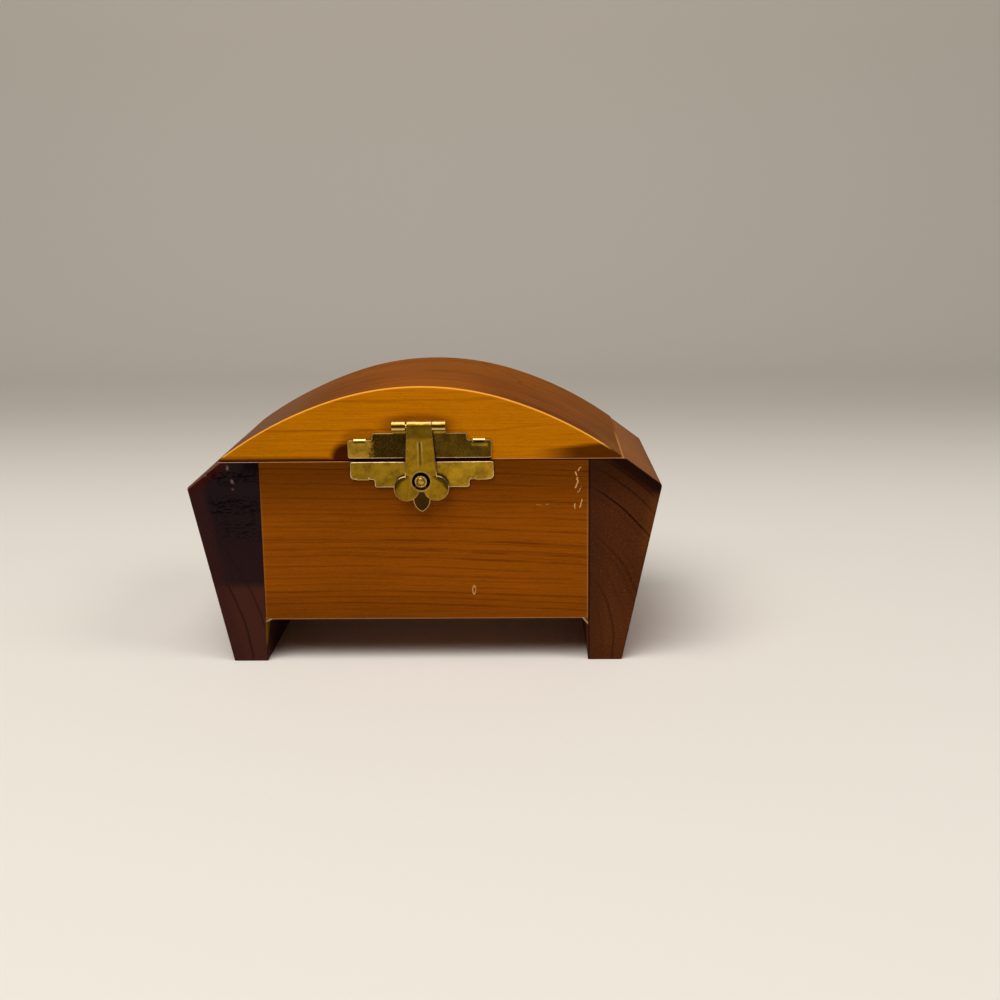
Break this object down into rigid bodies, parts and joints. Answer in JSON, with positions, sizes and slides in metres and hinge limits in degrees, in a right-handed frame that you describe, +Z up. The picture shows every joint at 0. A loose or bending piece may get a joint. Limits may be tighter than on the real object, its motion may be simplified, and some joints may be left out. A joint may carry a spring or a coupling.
{
  "type": "treasure chest box",
  "caption": "Small wooden treasure chest with flared end blocks for feet, a domed hinged lid and a stamped brass hasp; it keeps trinkets.",
  "frame": {"origin": "on the surface the chest stands on, under its middle", "axes": "+Z up, the front with the hasp faces -Y, +X to the right of someone facing the front"},
  "size_m": [0.1118, 0.0685, 0.0665],
  "materials": {
    "cedar_end_left": "dark satin varnish",
    "cedar_end_right": "dark satin varnish",
    "cedar_panel": "satin varnish",
    "cedar_bottom": "bare, sanded",
    "cedar_lid": "satin varnish",
    "brass": "aged satin"
  },
  "bodies": {
    "box": {"left_end_block": "cedar_end_left", "right_end_block": "cedar_end_right", "front_panel": "cedar_panel", "back_panel": "cedar_panel", "bottom_board": "cedar_bottom", "clasp_box_plate": "brass", "clasp_stud": "brass", "left_hinge_box_leaf": "brass", "left_hinge_pin": "brass", "right_hinge_box_leaf": "brass", "right_hinge_pin": "brass"},
    "lid": {"lid": "cedar_lid", "clasp_lid_plate": "brass", "clasp_hinge_pin": "brass", "left_hinge_lid_leaf": "brass", "right_hinge_lid_leaf": "brass"},
    "hasp": {"clasp_hasp": "brass"}
  },
  "joints": [
    {"name": "lid_hinge", "type": "hinge", "parent": "box", "child": "lid", "pos_m": [0, 0.0329, 0.04913], "axis": [-1, 0, 0], "range_deg": [0, 180]},
    {"name": "hasp_hinge", "type": "hinge", "parent": "lid", "child": "hasp", "pos_m": [-0.00095, -0.0329, 0.0575], "axis": [-1, 0, 0], "range_deg": [-4.5, 165]}
  ]
}
